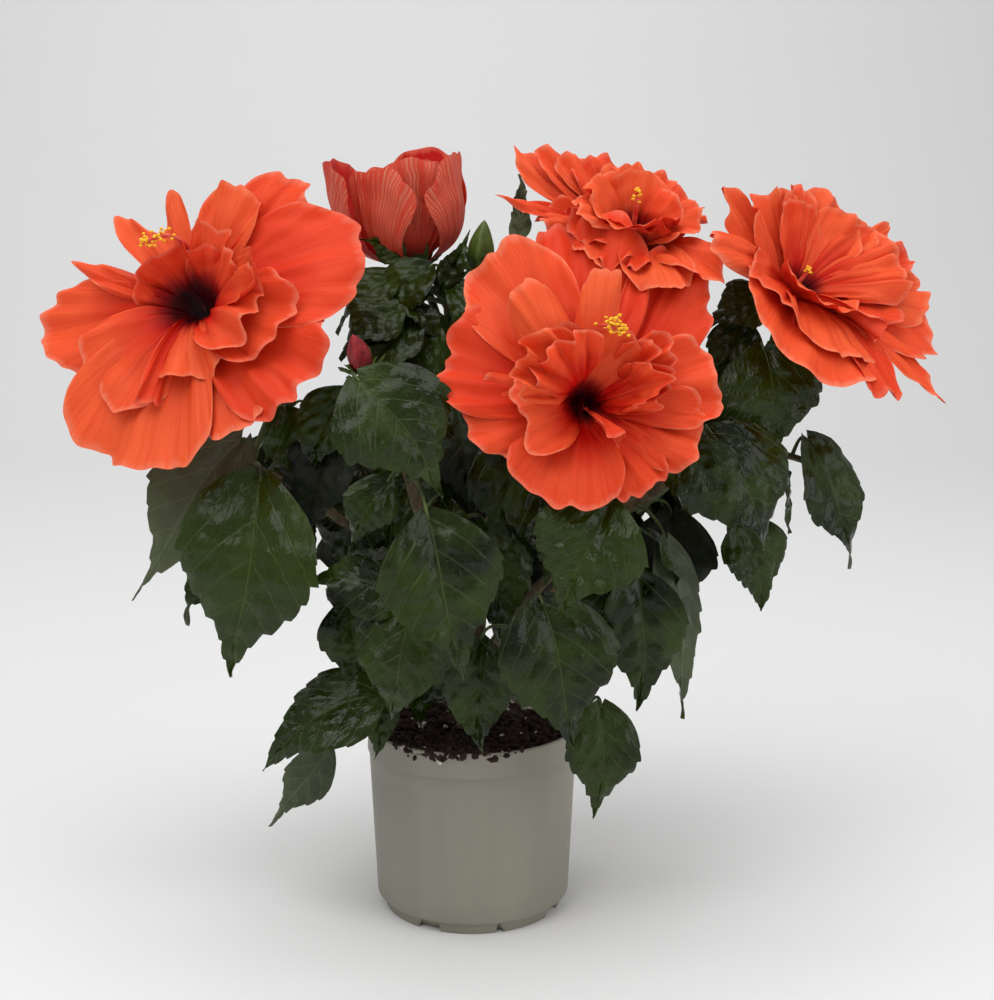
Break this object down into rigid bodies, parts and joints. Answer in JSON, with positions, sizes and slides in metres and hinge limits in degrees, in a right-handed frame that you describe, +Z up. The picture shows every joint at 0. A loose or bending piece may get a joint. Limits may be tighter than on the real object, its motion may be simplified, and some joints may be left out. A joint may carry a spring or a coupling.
{
  "type": "potted hibiscus shrub",
  "caption": "Small potted hibiscus with ruffled double orange-red blooms over dark toothed leaves, in a plain grey nursery pot; a patio or indoor plant.",
  "frame": {"origin": "middle of the pot's flat underside, where it stands on the ground", "axes": "+Z up along the pot's axis; -Y towards the side that the largest blooms face; +X to the right when the plant is seen from that side"},
  "size_m": [0.5018, 0.3147, 0.4671],
  "materials": {
    "pot": "satin warm grey, moulded",
    "soil": "moist peat, crumbly",
    "bark": "grey-brown bark",
    "stalk": "green stem, satin",
    "leaf": "dark green, glossy and puckered",
    "petal": "orange-red, velvety",
    "bud": "green, matte"
  },
  "bodies": {
    "root": {"bloom_back": "petal", "bloom_centre": "petal", "bloom_left": "petal", "bloom_right": "petal", "bloom_top": "petal", "bough_back": "bark", "bough_back_left": "bark", "bough_back_low_left": "bark", "bough_back_low_right": "bark", "bough_back_right": "bark", "bough_back_top": "bark", "bough_front": "bark", "bough_front_left": "bark", "bough_front_low": "bark", "bough_front_right": "bark", "bough_left": "bark", "bough_left_low": "bark", "bough_right": "bark", "bough_right_low": "bark", "bough_right_tip": "bark", "bough_right_upper": "bark", "bough_top": "bark", "bud_back": "bud", "bud_green": "bud", "bud_opening": "petal", "bud_red": "petal", "leaves_back": "leaf", "leaves_back_left": "leaf", "leaves_back_low_left": "leaf", "leaves_back_low_right": "leaf", "leaves_back_right": "leaf", "leaves_back_top": "leaf", "leaves_crown": "leaf", "leaves_front_left": "leaf", "leaves_front_low": "leaf", "leaves_front_right": "leaf", "leaves_left_heart": "leaf", "leaves_left_inner": "leaf", "leaves_left_low": "leaf", "leaves_left_outer": "leaf", "leaves_right_heart": "leaf", "leaves_right_low": "leaf", "leaves_right_outer": "leaf", "leaves_right_tip": "leaf", "leaves_right_upper": "leaf", "pot": "pot", "soil": "soil", "stalk_back": "stalk", "stalk_bud_back": "stalk", "stalk_bud_green": "stalk", "stalk_bud_opening": "stalk", "stalk_bud_red": "stalk", "stalk_centre": "stalk", "stalk_left": "stalk", "stalk_right": "stalk", "stalk_top": "stalk", "trunk": "bark"}
  },
  "joints": []
}
